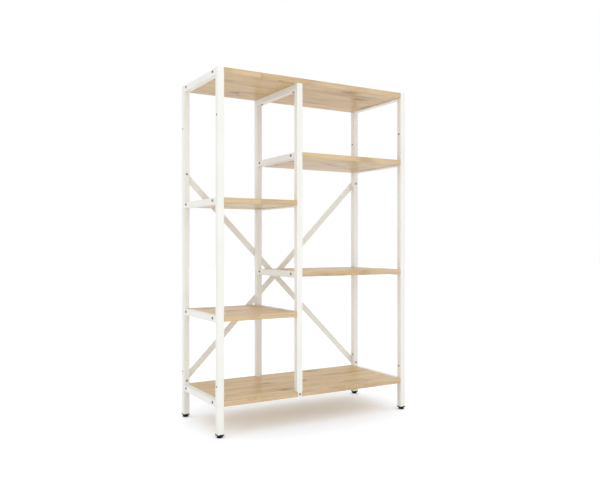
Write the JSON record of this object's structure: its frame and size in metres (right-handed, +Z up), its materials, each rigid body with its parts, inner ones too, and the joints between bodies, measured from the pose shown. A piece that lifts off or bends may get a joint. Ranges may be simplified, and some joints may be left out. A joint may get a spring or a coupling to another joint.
{
  "type": "shelving unit",
  "caption": "Freestanding open shelving unit: white square-tube steel frame, pale oak-effect boards at staggered heights, flat steel X-brace behind, black plastic feet.",
  "frame": {"origin": "on the floor, at the middle of the footprint of the four corner posts", "axes": "+Z is up; -Y is the open front that the picture shows; +X is to the right seen from the front"},
  "size_m": [0.7044, 0.3112, 1.09],
  "materials": {
    "white_coat": "fine satin powder coat, warm white",
    "brace_coat": "satin powder coat, warm white, on flat bar",
    "oak_board": "matt printed oak facing on a pressed wood core",
    "oak_edge_band": "matt oak-effect edge band",
    "black_plastic": "matt moulded plastic",
    "white_plastic": "matt moulded plastic, warm white",
    "dark_fasteners": "dark oxide steel",
    "zinc_nuts": "zinc plated steel"
  },
  "bodies": {
    "root": {"bottom_board": "oak_board", "bottom_board_edging": "oak_edge_band", "brace_bolts": "dark_fasteners", "brace_centre_bolt": "dark_fasteners", "brace_centre_nut": "zinc_nuts", "brace_falling": "brace_coat", "brace_nuts": "zinc_nuts", "brace_rising": "brace_coat", "left_frame_screws": "dark_fasteners", "left_front_cap": "white_plastic", "left_front_foot": "black_plastic", "left_front_post": "white_coat", "left_lower_shelf": "oak_board", "left_lower_shelf_edging": "oak_edge_band", "left_rear_cap": "white_plastic", "left_rear_foot": "black_plastic", "left_rear_post": "white_coat", "left_rung_bottom": "white_coat", "left_rung_lower": "white_coat", "left_rung_top": "white_coat", "left_rung_upper": "white_coat", "left_upper_shelf": "oak_board", "left_upper_shelf_edging": "oak_edge_band", "middle_front_post": "white_coat", "middle_rear_post": "white_coat", "middle_rung_left_lower": "white_coat", "middle_rung_left_upper": "white_coat", "middle_rung_right_lower": "white_coat", "middle_rung_right_upper": "white_coat", "middle_rung_top": "white_coat", "middle_screws_to_left_shelves": "dark_fasteners", "middle_screws_to_right_shelves": "dark_fasteners", "middle_top_screws": "dark_fasteners", "right_frame_screws": "dark_fasteners", "right_front_cap": "white_plastic", "right_front_foot": "black_plastic", "right_front_post": "white_coat", "right_lower_shelf": "oak_board", "right_lower_shelf_edging": "oak_edge_band", "right_rear_cap": "white_plastic", "right_rear_foot": "black_plastic", "right_rear_post": "white_coat", "right_rung_bottom": "white_coat", "right_rung_lower": "white_coat", "right_rung_top": "white_coat", "right_rung_upper": "white_coat", "right_upper_shelf": "oak_board", "right_upper_shelf_edging": "oak_edge_band", "tab_screws": "dark_fasteners", "top_board": "oak_board", "top_board_edging": "oak_edge_band"}
  },
  "joints": []
}
